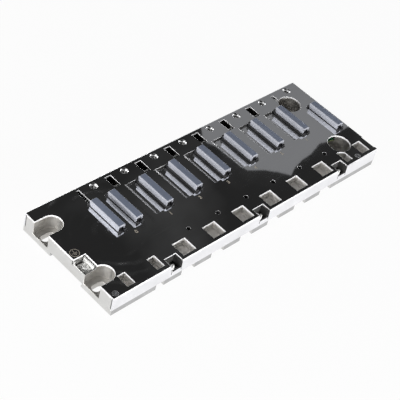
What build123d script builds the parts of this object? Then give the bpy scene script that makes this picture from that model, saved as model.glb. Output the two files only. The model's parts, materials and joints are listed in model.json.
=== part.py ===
# Rack backplane for a modular industrial controller: a cast base, a printed
# circuit board and a folded front plate, with nine bus connectors, their
# protective caps, a ground terminal, retaining clips and rail springs.
# Units are millimetres. X runs along the rack, Y towards the module screws,
# Z up out of the rear face. The origin is at the middle of the rear face.
# Places are given from the left end and the front edge, depths from the
# front face down, unless a name says otherwise.
import os

from build123d import *

os.makedirs("parts", exist_ok=True)

# module positions, which set the length of the rack
slot_pitch = 32.6
module_holes = 8
module_hole_x = 63.6
module_hole_from_back = 6.0
end_margin = 14.2
rack_depth = 105.0
rack_height = 19.0

# folded front plate
sheet = 1.5
bend_radius = 1.0
flange_drop = 13.2
edge_relief_depth = 1.0
edge_relief_start = 3.6
edge_relief_length = 14.0

# locating pin holes
pin_hole_y = 22.1
pin_hole_radius = 1.9
pin_hole_depth = 9.0

# hook windows along the front edge
hook_offset = 16.4
hook_width = 13.3
hook_length = 13.4
hook_y = 10.0
hook_half_width = 7.5
hook_half_length = 12.2
hook_left_x = (20.2, 50.1)
hook_right_from_end = 33.4
hook_end_from_end = 11.9
hook_end_width = 9.8
hook_end_length = 12.7
hook_depth = 8.0
hook_undercut = 0.5

# pin windows along the back edge
pin_width = 6.0
pin_length = 12.8
pin_from_back = 10.3
pin_narrow_width = 3.0
pin_first_x = 49.0
pin_first_from_back = 12.2
pin_first_length = 17.6
pin_last_from_end = 31.8
pin_last_from_back = 8.1
pin_last_length = 8.2

# clip notches in the front edge
notch_slots = (0, 3, 6)
notch_width = 11.9
notch_length = 8.4
notch_drop = 8.0
notch_taper = 1.8
notch_slit = 0.7
notch_slit_drop = 10.7

# fixing points: open slots on the left, round recesses on the right
fixing_front_y = 23.8
fixing_from_back = 20.4
slot_centre_x = 10.2
slot_radius = 8.7
slot_hole_start = 5.0
fixing_from_end = 25.4
recess_radius = 10.4
recess_web = 0.7
fixing_floor = 5.5
fixing_hole_radius = 3.5
boss_wall = 2.4

# ground terminal pocket at the left end
ground_length = 11.4
ground_start_y = 32.4
ground_width = 14.3
ground_depth = 9.5
ground_wall = 1.0
ground_drop = 4.4
ground_slit = 1.1
ground_slit_drop = 6.3
terminal_x = 6.3
terminal_y = 39.4
terminal_radius = 1.6
terminal_reach = 4.5
terminal_head_radius = 2.75
terminal_head_height = 2.2
bracket_sheet = 1.2
bracket_gap = 0.8
clamp_width = 6.2
clamp_length = 7.6
clamp_sheet = 1.4
clamp_lip = 1.0

# bus connectors and their caps
connector_offset = 4.6
connector_from_back = 38.2
power_connector_x = 49.8
end_connector_from_end = 10.5
end_connector_y = 54.4
housing_width = 5.4
housing_length = 32.6
housing_rise = 5.2
foot_width = 7.4
foot_rise = 0.5
ear_height = 1.5
ear_length = 1.6
ear_gap = 3.0
key_width = 3.2
key_length = 29.6
key_depth = 5.2
tongue_width = 1.2
tongue_length = 28.0
tongue_drop = 0.8
cap_fit = 0.12
cap_wall = 0.58
cap_end_wall = 0.78
cap_roof = 0.75
cap_height = 4.3
cap_bevel = 0.5
cap_end_cut = 2.6
cap_grip_length = 1.3
cap_grip_height = 2.0
cap_grip_depth = 0.4
cutout_margin = 0.4

# pressed recess beside each bus slot connector
press_depth = 2.0
press_start = 10.5
press_slope = 3.2
press_shoulder = 0.25
press_inset = 0.4

# cast base
wall = 2.5
floor = 2.5
foot_setback = 0.3
rail_width = 37.6
rail_offset = 0.2
rail_depth = 3.8
rail_lip = 1.2
rail_lip_height = 1.2
cavity_start_x = 22.0
cavity_corner = 2.0
end_block_length = 20.0
rib_width = 9.0
rib_length = 8.0
foot_gap = 14.0
foot_gap_offset = 15.7
first_gap_x = 49.5
first_gap = 8.3
pocket_start_x = 24.0
pocket_end_y = 30.0
pocket_depth = 5.0
seam = 0.8
clearance = 0.1
close_fit = 0.05

# circuit board
board_drop = 4.6
board_thickness = 1.6
board_start_x = 25.0
board_front_y = 32.6
board_from_back = 14.4
board_gap = 1.0
post_width = 6.4
post_left_x = 32.0
post_offset = 14.3
post_inset_front = 6.0
post_inset_back = 3.0
board_screw_radius = 1.25
board_screw_length = 6.0
board_head_radius = 2.3
board_head_height = 1.5

# module screw holes, and the screws that hold the plate
tap_radius = 1.65
tap_depth = 11.0
funnel_radius = 3.4
funnel_neck = 2.0
plate_screw_x = 4.6
plate_screw_y = 3.9
plate_screw_from_end = 22.8
plate_screw_radius = 1.2
plate_screw_length = 8.0
plate_head_radius = 2.5
screw_clearance = 0.15

# ground bar behind the pin windows
bar_radius = 0.65
bar_from_back = 13.3
bar_drop = 3.8
bar_overhang = 3.5
saddle_offset = 6.5
saddle_thickness = 2.0
saddle_length = 3.6

# sprung steel strips
clip_sheet = 0.5
clip_width = 4.6
clip_y = 4.6
clip_drop = 1.9
clip_reach = 7.0
clip_bend = 0.6
spring_x = (72.0, 234.0)
spring_width = 9.0
spring_sheet = 0.6
spring_length = 12.0
spring_lip = 0.7
rivet_head_radius = 2.0
rivet_head_height = 0.7
rivet_inset = 5.3

# values that follow from the sizes above
rack_length = module_hole_x + slot_pitch * (module_holes - 1) + end_margin
bus_slots = module_holes - 2
slot_x = [module_hole_x + slot_pitch * n for n in range(module_holes)]
bus_x = [x + connector_offset for x in slot_x[: bus_slots + 1]]
hook_x = [x + hook_offset for x in slot_x[:bus_slots]]
module_hole_y = rack_depth - module_hole_from_back
module_points = [(x, module_hole_y) for x in slot_x]
pin_points = [(x, pin_hole_y) for x in slot_x[1 : bus_slots + 1]]

sheet_bottom = rack_height - sheet
flange_bottom = rack_height - flange_drop
low_top = flange_bottom - clearance
above = 2 * rack_height
below = -sheet

hook_windows = [(x, hook_width, hook_length) for x in hook_x]
hook_windows += [(x, hook_half_width, hook_half_length) for x in hook_left_x]
hook_windows += [(rack_length - hook_right_from_end, hook_half_width, hook_half_length)]
hook_windows += [(rack_length - hook_end_from_end, hook_end_width, hook_end_length)]

fixing_y = (fixing_front_y, rack_depth - fixing_from_back)
fixing_x = rack_length - fixing_from_end
fixing_right = [(fixing_x, y) for y in fixing_y]
boss_radius = recess_radius + boss_wall

cap_width = housing_width + 2 * (cap_fit + cap_wall)
cap_length = housing_length + 2 * (cap_fit + cap_end_wall)
foot_length = cap_length + 2 * (ear_length + 2 * clearance)
foot_top = rack_height + foot_rise
housing_top = rack_height + housing_rise
cap_top = housing_top + cap_roof
cap_bottom = cap_top - cap_height
connector_y = rack_depth - connector_from_back
end_connector = (rack_length - end_connector_from_end, end_connector_y)
connector_points = [(power_connector_x, connector_y)]
connector_points += [(x, connector_y) for x in bus_x]
connector_points += [end_connector]
press_front = connector_y - foot_length / 2 + press_inset
press_back = connector_y + foot_length / 2 + press_inset

rail_y = rack_depth / 2 + rail_offset
rail_front_y = rail_y - rail_width / 2
rail_back_y = rail_y + rail_width / 2

board_bottom = sheet_bottom - board_drop
board_top = board_bottom + board_thickness
board_end_x = rack_length - wall - board_gap
board_back_y = rack_depth - board_from_back
cavity_front_y = board_front_y - board_gap
cavity_back_y = rack_depth - sheet - wall / 2
end_block_x = rack_length - end_block_length
end_block_y = end_connector_y - foot_length / 2 - cutout_margin
post_rows = (board_front_y + post_inset_front, board_back_y - post_inset_back)
post_columns = (post_left_x, bus_x[bus_slots - 1] + post_offset)
post_points = [(x, y) for x in post_columns for y in post_rows]

plate_screws_at = [(plate_screw_x, plate_screw_y), (rack_length - plate_screw_from_end, plate_screw_y)]
bar_y = rack_depth - bar_from_back
bar_rest = rack_height - bar_drop
saddle_x = [x - saddle_offset for x in slot_x[: bus_slots + 1]]
ground_end_y = ground_start_y + ground_width
ground_floor = rack_height - ground_depth
rivet_y = rail_back_y - rivet_inset
rivet_head = rail_depth - spring_sheet


def at(x, y, z=0.0):
    """Place in the rack's frame, from the left end, the front edge and the rear face."""
    return (x - rack_length / 2, y - rack_depth / 2, z)


def places(points):
    """Sketch positions from distances to the left end and the front edge."""
    return [at(x, y)[:2] for x, y in points]


def level(z):
    """Horizontal sketch plane at a height."""
    return Plane.XY.offset(z)


def block(x0, x1, y0, y1, z0, z1):
    """Plain box between two corners, kept out of the running builder."""
    box = Box(x1 - x0, y1 - y0, z1 - z0, mode=Mode.PRIVATE)
    return box.moved(Location(at((x0 + x1) / 2, (y0 + y1) / 2, (z0 + z1) / 2)))


def rod(x, y, radius, z0, z1):
    """Upright cylinder, kept out of the running builder."""
    pin = Cylinder(radius, z1 - z0, mode=Mode.PRIVATE)
    return pin.moved(Location(at(x, y, (z0 + z1) / 2)))


def cored_hole(x, y, radius, z0):
    """Square cored hole for a thread-forming screw, open at the top."""
    half = radius + close_fit
    return block(x - half, x + half, y - half, y + half, z0, above)


def taper(x, y, radius_low, radius_high, z0, z1):
    """Upright cone, kept out of the running builder."""
    cone = Cone(radius_low, radius_high, z1 - z0, mode=Mode.PRIVATE)
    return cone.moved(Location(at(x, y, (z0 + z1) / 2)))


def along_y(points, y0, y1):
    """Prism along Y from a ring of (distance from the left end, height)."""
    ring = [at(x, y0, z) for x, z in points]
    face = Face(Wire.make_polygon(ring, close=True))
    return Solid.extrude(face, Vector(0, y1 - y0, 0))


def along_x(points, x0, x1):
    """Prism along X from a ring of (distance from the front edge, height)."""
    ring = [at(x0, y, z) for y, z in points]
    face = Face(Wire.make_polygon(ring, close=True))
    return Solid.extrude(face, Vector(x1 - x0, 0, 0))


def bent_strip(points, across, thickness, width, radius):
    """Flat steel strip that follows a line of points with rounded bends."""
    with BuildPart() as strip:
        with BuildLine() as line:
            FilletPolyline(*points, radius=radius)
        with BuildSketch(Plane(origin=line.line @ 0, x_dir=across, z_dir=line.line % 0)):
            Rectangle(width, thickness)
        sweep()
    return strip.part


def notch_ring(x):
    """Outline of a clip notch in the front flange, with relief slits at its foot."""
    half = notch_width / 2
    top = rack_height
    drop = top - notch_drop
    slit = top - notch_slit_drop
    left = x - half + notch_taper
    right = x + half + notch_slit
    ring = [(x - half, above), (x - half, top), (left, drop), (left, slit), (left + notch_slit, slit)]
    ring += [(left + notch_slit, drop), (right - notch_slit, drop), (right - notch_slit, slit)]
    ring += [(right, slit), (x + half, top), (x + half, above)]
    return ring


def pressed_pan(x):
    """Rings of a pressed recess beside a connector: the metal under it and the hollow."""
    start = x - connector_offset - press_start
    flat = start + press_slope
    end = x - foot_width / 2 - cutout_margin
    low = sheet_bottom - press_depth
    under = [(start, sheet_bottom), (flat, low), (end, low), (end, sheet_bottom)]
    shoulder = rack_height - press_shoulder
    hollow = [(start - press_shoulder, above), (start - press_shoulder, rack_height)]
    hollow += [(start + press_shoulder, shoulder), (flat, rack_height - press_depth)]
    hollow += [(end + cutout_margin, rack_height - press_depth), (end + cutout_margin, above)]
    return under, hollow


# Front plate: folded sheet with every window, notch and pressed recess. The
# profile is bent first, then the recesses are pressed, then all is punched.
with BuildPart() as front_plate:
    with BuildSketch(Plane.YZ.offset(-rack_length / 2)):
        with Locations((0, rack_height - flange_drop / 2)):
            fold = Rectangle(rack_depth, flange_drop)
        fillet(fold.vertices().group_by(Axis.Y)[-1], bend_radius)
        with Locations((0, flange_bottom + (flange_drop - sheet) / 2)):
            Rectangle(rack_depth - 2 * sheet, flange_drop - sheet, mode=Mode.SUBTRACT)
    extrude(amount=rack_length)

    for x in bus_x[1:]:
        under, hollow = pressed_pan(x)
        add(along_y(under, press_front - sheet, press_back + sheet))
        add(along_y(hollow, press_front, press_back), mode=Mode.SUBTRACT)

    with BuildSketch(level(sheet_bottom - 2 * press_depth)):
        for x, width, length in hook_windows:
            with Locations(places([(x, hook_y)])):
                Rectangle(width, length)
        with Locations(places(fixing_right)):
            Circle(recess_radius + recess_web, mode=Mode.SUBTRACT)
        with Locations(places([(x, rack_depth - pin_from_back) for x in hook_x])):
            Rectangle(pin_width, pin_length)
        with Locations(places([(pin_first_x, rack_depth - pin_first_from_back)])):
            Rectangle(pin_narrow_width, pin_first_length)
        with Locations(places([(rack_length - pin_last_from_end, rack_depth - pin_last_from_back)])):
            Rectangle(pin_narrow_width, pin_last_length)
        with Locations(places(connector_points)):
            Rectangle(foot_width + 2 * cutout_margin, foot_length + 2 * cutout_margin)
        with Locations(places(fixing_right)):
            Circle(recess_radius)
        with Locations(places([(slot_centre_x, y) for y in fixing_y])):
            Circle(slot_radius)
            Rectangle(2 * slot_centre_x, 2 * slot_radius, align=(Align.MAX, Align.CENTER))
        with Locations(places([(ground_length, ground_start_y)])):
            Rectangle(2 * ground_length, ground_width, align=(Align.MAX, Align.MIN))
        with Locations(places([(rack_length - edge_relief_depth, edge_relief_start)])):
            Rectangle(2 * edge_relief_depth, edge_relief_length, align=(Align.MIN, Align.MIN))
        with Locations(places(pin_points)):
            Circle(pin_hole_radius)
    extrude(amount=above, mode=Mode.SUBTRACT)

    for n in notch_slots:
        x = slot_x[n]
        half = notch_width / 2
        add(along_y(notch_ring(x), below, sheet + clearance), mode=Mode.SUBTRACT)
        mouth = block(x - half, x + half, below, notch_length, sheet_bottom - clearance, above)
        add(mouth, mode=Mode.SUBTRACT)

    for x, y in module_points:
        funnel = taper(x, y, funnel_neck, funnel_radius, sheet_bottom, rack_height)
        add(funnel, mode=Mode.SUBTRACT)
    for x, y in plate_screws_at:
        neck = plate_screw_radius + close_fit
        sink = taper(x, y, neck, plate_head_radius + close_fit, sheet_bottom, rack_height)
        add(sink, mode=Mode.SUBTRACT)

# Cast base: one section with the mounting-rail channel, hollowed for the board
# and cut with hook pockets, fixing ledges and the terminal pocket.
with BuildPart() as chassis:
    lip = rail_front_y + rail_lip
    front = foot_setback
    back = rack_depth - foot_setback
    section = [(front, 0), (lip, 0), (lip, rail_lip_height), (rail_front_y, 2 * rail_lip_height)]
    section += [(rail_front_y, rail_depth), (rail_back_y, rail_depth), (rail_back_y, 0), (back, 0)]
    section += [(back, low_top), (rack_depth - sheet, low_top), (rack_depth - sheet, sheet_bottom)]
    section += [(sheet, sheet_bottom), (sheet, low_top), (front, low_top)]
    add(along_x(section, 0, rack_length))

    # board cavity, deeper behind the rail channel
    end_x = rack_length - wall
    for y0, low in ((cavity_front_y, rail_depth + floor), (rail_back_y + floor, floor)):
        with BuildSketch(level(low)):
            with Locations(places([(cavity_start_x, y0)])):
                size = (end_x - cavity_start_x, cavity_back_y - y0)
                hollow = Rectangle(*size, align=(Align.MIN, Align.MIN))
            chamfer(hollow.vertices(), cavity_corner)
        extrude(amount=above, mode=Mode.SUBTRACT)

    # solid corner at the right front, and bosses round the right fixing points
    roof = rail_depth + clearance
    x0 = fixing_x - boss_radius
    x1 = fixing_x + boss_radius
    add(block(end_block_x, rack_length - wall / 2, cavity_front_y - wall, end_block_y, roof, sheet_bottom))
    add(block(x0, x1, fixing_y[0], fixing_y[0] + boss_radius, roof, board_bottom))
    add(block(x0, x1, fixing_y[1] - boss_radius, fixing_y[1] + boss_radius, floor / 2, sheet_bottom))
    low_side = block(0, end_block_x, 0, rack_depth, board_bottom, above)
    add(low_side & rod(fixing_x, fixing_y[0], boss_radius, 0, above), mode=Mode.SUBTRACT)
    for x, y in fixing_right:
        add(rod(x, y, recess_radius, fixing_floor, above), mode=Mode.SUBTRACT)
        add(rod(x, y, fixing_hole_radius, below, above), mode=Mode.SUBTRACT)

    # room for the foot of the last connector, beside the back boss
    x0 = end_connector[0] - foot_width / 2 - cutout_margin
    x1 = end_connector[0] + foot_width / 2 + cutout_margin
    y1 = end_connector_y + foot_length / 2 + cutout_margin
    add(block(x0, x1, end_block_y, y1, board_bottom, above), mode=Mode.SUBTRACT)

    # board posts, the ribs for the module screws and the saddles of the ground bar
    half = post_width / 2
    for x, y in post_points:
        low = roof if y < rail_back_y else floor / 2
        add(block(x - half, x + half, y - half, y + half, low, board_bottom))
        core = cored_hole(x, y, board_screw_radius, board_bottom - board_screw_length)
        add(core, mode=Mode.SUBTRACT)
    with BuildSketch(level(floor / 2)):
        with Locations(places([(x, cavity_back_y + wall / 2) for x in slot_x])):
            Rectangle(rib_width, rib_length + wall / 2, align=(Align.CENTER, Align.MAX))
    extrude(amount=sheet_bottom - floor / 2)
    with BuildSketch(level(floor)):
        with Locations(places([(x, bar_y + saddle_length / 4) for x in saddle_x])):
            Rectangle(saddle_thickness, saddle_length)
    extrude(amount=bar_rest - floor)

    # hook pockets under the windows, and the gaps between the feet
    with BuildSketch(level(rack_height - hook_depth)):
        for x, width, length in hook_windows:
            with Locations(places([(x, hook_y)])):
                Rectangle(width + 2 * hook_undercut, length + 2 * hook_undercut)
        with Locations(places(fixing_right)):
            Circle(recess_radius + recess_web, mode=Mode.SUBTRACT)
    extrude(amount=above, mode=Mode.SUBTRACT)
    gap_depth = hook_y + hook_length
    with BuildSketch(level(below)):
        with Locations(places([(x + foot_gap_offset, 0) for x in slot_x[:bus_slots]])):
            Rectangle(foot_gap, 2 * gap_depth)
        with Locations(places([(first_gap_x, 0)])):
            Rectangle(first_gap, 2 * gap_depth)
    extrude(amount=low_top - below, mode=Mode.SUBTRACT)

    # lightening pockets inside the feet, open at the rear
    foot_half = (slot_pitch - foot_gap) / 2 - wall
    feet = [x + foot_gap_offset - slot_pitch / 2 for x in slot_x[: bus_slots + 1]]
    pockets = [(x - foot_half, x + foot_half) for x in feet]
    pockets += [(pocket_start_x, first_gap_x - first_gap / 2 - wall)]
    with BuildSketch(level(below)):
        for x0, x1 in pockets:
            with Locations(places([(x0, 2 * wall)])):
                Rectangle(x1 - x0, pocket_end_y - 2 * wall, align=(Align.MIN, Align.MIN))
    extrude(amount=pocket_depth - below, mode=Mode.SUBTRACT)

    # clip pockets in the front wall and the holes under the locating pins
    with BuildSketch(level(flange_bottom + wall)):
        with Locations(places([(slot_x[n], 0) for n in notch_slots])):
            Rectangle(notch_width + 2 * clearance, 2 * notch_length + wall)
    extrude(amount=above, mode=Mode.SUBTRACT)
    with BuildSketch(level(rack_height - pin_hole_depth)):
        with Locations(places(pin_points)):
            side = 2 * (pin_hole_radius + clearance)
            Rectangle(side, side)
    extrude(amount=above, mode=Mode.SUBTRACT)

    # fixing slots on the left, open at the end wall
    with BuildSketch(level(fixing_floor)):
        with Locations(places([(slot_centre_x, y) for y in fixing_y])):
            Circle(slot_radius)
            Rectangle(2 * slot_centre_x, 2 * slot_radius, align=(Align.MAX, Align.CENTER))
    extrude(amount=above, mode=Mode.SUBTRACT)
    with BuildSketch(level(below)):
        with Locations(places([((slot_hole_start + slot_centre_x) / 2, y) for y in fixing_y])):
            SlotCenterToCenter(slot_centre_x - slot_hole_start, 2 * fixing_hole_radius)
    extrude(amount=above, mode=Mode.SUBTRACT)

    # ground terminal pocket with its lowered end wall and slit
    low = rack_height - ground_drop
    y0 = ground_start_y + ground_wall
    add(block(ground_wall, ground_length, y0, ground_end_y, ground_floor, above), mode=Mode.SUBTRACT)
    rim = block(below, ground_length, ground_start_y - close_fit, ground_end_y - 2 * ground_wall, low, above)
    add(rim, mode=Mode.SUBTRACT)
    low = rack_height - ground_slit_drop
    slit = block(below, 2 * ground_wall, ground_end_y, ground_end_y + ground_slit, low, above)
    add(slit, mode=Mode.SUBTRACT)
    thread = rod(terminal_x, terminal_y, terminal_radius + clearance, ground_floor - terminal_reach, above)
    add(thread, mode=Mode.SUBTRACT)

    # seams beside the folded flanges at the left end
    for y in (sheet, rack_depth - sheet - seam):
        add(block(below, wall, y, y + seam, low_top, above), mode=Mode.SUBTRACT)

    # cored holes for the plate screws and tapped holes for the module screws
    for x, y in plate_screws_at:
        low = rack_height - plate_screw_length - screw_clearance
        add(cored_hole(x, y, plate_screw_radius, low), mode=Mode.SUBTRACT)
    for x, y in module_points:
        add(rod(x, y, tap_radius, rack_height - tap_depth, above), mode=Mode.SUBTRACT)

# Circuit board on its posts, cut round the fixing bosses and the solid corner.
with BuildPart() as circuit_board:
    with BuildSketch(level(board_bottom)):
        with Locations(places([(board_start_x, board_front_y)])):
            size = (board_end_x - board_start_x, board_back_y - board_front_y)
            Rectangle(*size, align=(Align.MIN, Align.MIN))
        with Locations(places([(fixing_x, fixing_y[0])])):
            Circle(recess_radius - cutout_margin, mode=Mode.SUBTRACT)
        with Locations(places([(fixing_x, fixing_y[1])])):
            side = 2 * (boss_radius + cutout_margin)
            Rectangle(side, side, mode=Mode.SUBTRACT)
        with Locations(places([(end_block_x - cutout_margin, end_block_y + cutout_margin)])):
            size = (2 * end_block_length, end_block_length)
            Rectangle(*size, align=(Align.MIN, Align.MAX), mode=Mode.SUBTRACT)
        with Locations(places(post_points)):
            side = 2 * (board_screw_radius + screw_clearance)
            Rectangle(side, side, mode=Mode.SUBTRACT)
    extrude(amount=board_thickness)

# Board screws with hexagon heads, one shared pattern of separate fasteners.
with BuildPart() as board_screws:
    for x, y in post_points:
        add(rod(x, y, board_screw_radius, board_top - board_screw_length, board_top))
    with BuildSketch(level(board_top)):
        with Locations(places(post_points)):
            RegularPolygon(board_head_radius, side_count=6)
    extrude(amount=board_head_height)

# Countersunk screws that hold the plate to the base.
with BuildPart() as plate_screws:
    for x, y in plate_screws_at:
        add(rod(x, y, plate_screw_radius, rack_height - plate_screw_length, sheet_bottom))
        add(taper(x, y, plate_screw_radius, plate_head_radius, sheet_bottom, rack_height))


def connector_body(x, y):
    """Bus connector: eared foot on the board, housing with a keyed mouth and a tongue."""
    with BuildPart() as body:
        with BuildSketch(level(board_top)):
            with Locations(places([(x, y)])):
                Rectangle(foot_width, foot_length)
        extrude(amount=foot_top - board_top)
        with BuildSketch(level(foot_top)):
            reach = (foot_length - ear_length) / 2
            with Locations(places([(x, y - reach), (x, y + reach)])):
                Rectangle(foot_width, ear_length)
                Rectangle(ear_gap, ear_length, mode=Mode.SUBTRACT)
        extrude(amount=ear_height)
        with BuildSketch(level(foot_top)):
            with Locations(places([(x, y)])):
                Rectangle(housing_width, housing_length)
        extrude(amount=housing_top - foot_top)
        with BuildSketch(level(housing_top - key_depth)):
            with Locations(places([(x, y)])):
                Rectangle(key_width, key_length)
        extrude(amount=above, mode=Mode.SUBTRACT)
        with BuildSketch(level(housing_top - key_depth)):
            with Locations(places([(x, y)])):
                Rectangle(tongue_width, tongue_length)
        extrude(amount=key_depth - tongue_drop)
    return body.part


def cap_body(x, y):
    """Protective cap: bevelled shell that drops over the connector housing."""
    with BuildPart() as cap:
        with BuildSketch(level(cap_bottom)):
            with Locations(places([(x, y)])):
                Rectangle(cap_width, cap_length)
        extrude(amount=cap_height)
        chamfer(cap.faces().sort_by(Axis.Z)[-1].edges(), cap_bevel)
        with BuildSketch(level(cap_bottom)):
            with Locations(places([(x, y)])):
                Rectangle(housing_width + 2 * cap_fit, housing_length + 2 * cap_fit)
        extrude(amount=housing_top - cap_bottom, mode=Mode.SUBTRACT)
        with BuildSketch(level(cap_bottom)):
            with Locations(places([(x, y - cap_length / 2)])):
                Rectangle(housing_width, 2 * cap_end_wall + cap_fit)
        extrude(amount=cap_end_cut, mode=Mode.SUBTRACT)
        corners = [(x - cap_width / 2, y + cap_length / 2), (x + cap_width / 2, y + cap_length / 2)]
        with BuildSketch(level(cap_bottom)):
            with Locations(places(corners)):
                Rectangle(2 * cap_grip_depth, 2 * cap_grip_length)
        extrude(amount=cap_grip_height, mode=Mode.SUBTRACT)
    return cap.part


# Ground terminal: angle bracket in its pocket, lipped clamp and crossed screw.
with BuildPart() as ground_bracket:
    x0 = ground_wall + bracket_gap
    x1 = ground_length - bracket_gap
    low = ground_floor + bracket_sheet
    high = sheet_bottom - bracket_gap
    angle = [(x0, ground_floor), (x1, ground_floor), (x1, high), (x1 - bracket_sheet, high)]
    angle += [(x1 - bracket_sheet, low), (x0, low)]
    y0 = ground_start_y + ground_wall + bracket_gap
    add(along_y(angle, y0, ground_end_y - bracket_gap))
    hole = rod(terminal_x, terminal_y, terminal_radius + clearance, below, above)
    add(hole, mode=Mode.SUBTRACT)

with BuildPart() as ground_clamp:
    low = ground_floor + bracket_sheet
    y0 = terminal_y - clamp_length / 2
    y1 = terminal_y + clamp_length / 2
    top = low + clamp_sheet
    lip = top + bracket_sheet
    tray = [(y0, low), (y1, low), (y1, lip), (y1 - clamp_lip, lip), (y1 - clamp_lip, top)]
    tray += [(y0 + clamp_lip, top), (y0 + clamp_lip, lip), (y0, lip)]
    add(along_x(tray, terminal_x - clamp_width / 2, terminal_x + clamp_width / 2))
    hole = rod(terminal_x, terminal_y, terminal_radius + clearance, below, above)
    add(hole, mode=Mode.SUBTRACT)

with BuildPart() as ground_screw:
    seat = ground_floor + bracket_sheet + clamp_sheet
    foot = ground_floor - terminal_reach + close_fit
    add(rod(terminal_x, terminal_y, terminal_radius, foot, seat))
    add(rod(terminal_x, terminal_y, terminal_head_radius, seat, seat + terminal_head_height))

# Ground bar behind the pin windows, a plain steel rod on the base saddles.
with BuildPart() as ground_bar:
    bar_start_x = pin_first_x - bar_overhang
    bar_end_x = saddle_x[-1] + saddle_thickness
    with BuildSketch(Plane.YZ.offset(bar_start_x - rack_length / 2)):
        with Locations((bar_y - rack_depth / 2, bar_rest + bar_radius)):
            Circle(bar_radius)
    extrude(amount=bar_end_x - bar_start_x)


def clip_body(x):
    """Spring clip: a folded strip that arches up inside a clip notch."""
    left = x - notch_width / 2 + clip_sheet
    low = flange_bottom + wall + clip_sheet / 2
    top = rack_height - clip_drop
    crest = left + notch_taper
    bend = left + 2 * notch_taper + clip_sheet
    line = [(left + clip_reach, low), (left, low), (left, top - notch_taper), (crest, top)]
    line += [(bend, low + 2 * notch_taper)]
    return bent_strip([at(a, clip_y, z) for a, z in line], (0, 1, 0), clip_sheet, clip_width, clip_bend)


def spring_body(x):
    """Rail spring: flat tab under the channel roof, folded down along the channel's edge."""
    start = rail_back_y - spring_length
    inner = rail_back_y - spring_sheet
    tip = rail_back_y - 2 * spring_lip
    tip_low = spring_sheet / 2 + spring_lip
    fold = [(start, rail_depth), (rail_back_y, rail_depth), (rail_back_y, spring_sheet / 2)]
    fold += [(tip, tip_low), (tip, tip_low + spring_sheet), (inner, 2 * spring_sheet)]
    fold += [(inner, rail_depth - spring_sheet), (start, rail_depth - spring_sheet)]
    return along_x(fold, x - spring_width / 2, x + spring_width / 2)


# Heads of the rivets that hold the rail springs under the channel roof.
with BuildPart() as spring_rivets:
    for x in spring_x:
        add(rod(x, rivet_y, rivet_head_radius, rivet_head - rivet_head_height, rivet_head))

parts = {
    "front_plate": front_plate.part,
    "chassis": chassis.part,
    "circuit_board": circuit_board.part,
    "board_screws": board_screws.part,
    "plate_screws": plate_screws.part,
    "ground_bracket": ground_bracket.part,
    "ground_clamp": ground_clamp.part,
    "ground_screw": ground_screw.part,
    "ground_bar": ground_bar.part,
    "spring_rivets": spring_rivets.part,
}
for letter, (x, y) in zip("abcdefghi", connector_points):
    parts["connector_" + letter] = connector_body(x, y)
    parts["cap_" + letter] = cap_body(x, y)
for number, n in enumerate(notch_slots, 1):
    parts["clip_%d" % number] = clip_body(slot_x[n])
for number, x in enumerate(spring_x, 1):
    parts["rail_spring_%d" % number] = spring_body(x)

for name, shape in parts.items():
    shape.label = name
    export_step(shape, "parts/" + name + ".step")
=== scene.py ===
"""Looks of a rack backplane for a modular controller.

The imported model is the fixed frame. Each operator dresses one piece or one group of
like pieces: it merges a copy of the construction mesh, rounds its sharp edges, adds the
fine forms, and gives it a finish made of shader nodes. All lengths are metres.
"""

import json
import math

import bmesh
import bpy
from bpy.props import FloatProperty, FloatVectorProperty, IntProperty, PointerProperty
from mathutils import Matrix, Vector


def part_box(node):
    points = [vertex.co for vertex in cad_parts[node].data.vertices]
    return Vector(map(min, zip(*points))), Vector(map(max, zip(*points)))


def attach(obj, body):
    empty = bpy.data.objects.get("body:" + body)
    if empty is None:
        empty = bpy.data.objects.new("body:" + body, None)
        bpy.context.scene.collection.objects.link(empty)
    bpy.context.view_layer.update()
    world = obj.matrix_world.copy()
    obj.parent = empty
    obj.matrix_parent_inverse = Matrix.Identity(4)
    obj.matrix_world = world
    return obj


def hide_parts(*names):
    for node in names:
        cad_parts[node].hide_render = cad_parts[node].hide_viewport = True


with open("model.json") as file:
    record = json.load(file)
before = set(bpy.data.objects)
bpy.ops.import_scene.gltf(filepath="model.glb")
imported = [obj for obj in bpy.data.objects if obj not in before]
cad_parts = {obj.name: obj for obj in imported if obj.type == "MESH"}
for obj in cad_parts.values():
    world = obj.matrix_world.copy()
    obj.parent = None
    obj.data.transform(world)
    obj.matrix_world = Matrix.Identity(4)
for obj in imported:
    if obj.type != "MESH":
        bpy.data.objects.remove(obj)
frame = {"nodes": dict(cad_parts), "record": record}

bl_info = {
    "name": "Rack Backplane",
    "version": (1, 0, 0),
    "blender": (4, 5, 0),
    "location": "View3D > Sidebar > Rack",
    "description": "Dresses a rack backplane with bright plate, cast base and capped connectors",
    "category": "Object",
}

BODY = "root"
MERGE = 2e-6
FLAT = math.radians(0.6)
CORNER = math.radians(24)
FOLD = math.radians(15)
SHARP = math.radians(50)
UP = Vector((0, 0, 1))
LETTERS = "abcdefghi"
MOUNTS = {mount["name"]: mount for mount in frame["record"]["mounts"]}
OPENINGS = {space["name"]: space["box_m"] for space in frame["record"]["physics"]["openings"]}
PLATE_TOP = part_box("front_plate")[1].z

# Room that a bevel needs in its own widths, cosine of edges that run on, area of a broad face
ROOM = 2.2
ALONG = 0.8
BROAD = 0.000015

# Parts of a normal that tell how a face lies
LEVEL = 0.9
UPRIGHT = 0.3
FACING = 0.4

# How far the zones with a finish of their own reach past what they surround
SHEET = 0.0016
FUNNEL_REACH = 0.0045
HOLE_REACH = 0.003
BORE_REACH = 0.0027
PIN_REACH = 0.0015
PIN_WALL_REACH = 0.0024
HOOK_REACH = 0.0008
RECESS_REACH = 0.0035
SLOT_REACH = 0.003
SOCKET_REACH = Vector((0.002, 0.002, 1))
PANS_BEFORE = Vector((0.016, 0.003, 1))
PANS_AFTER = Vector((0.004, 0.003, 1))

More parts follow.
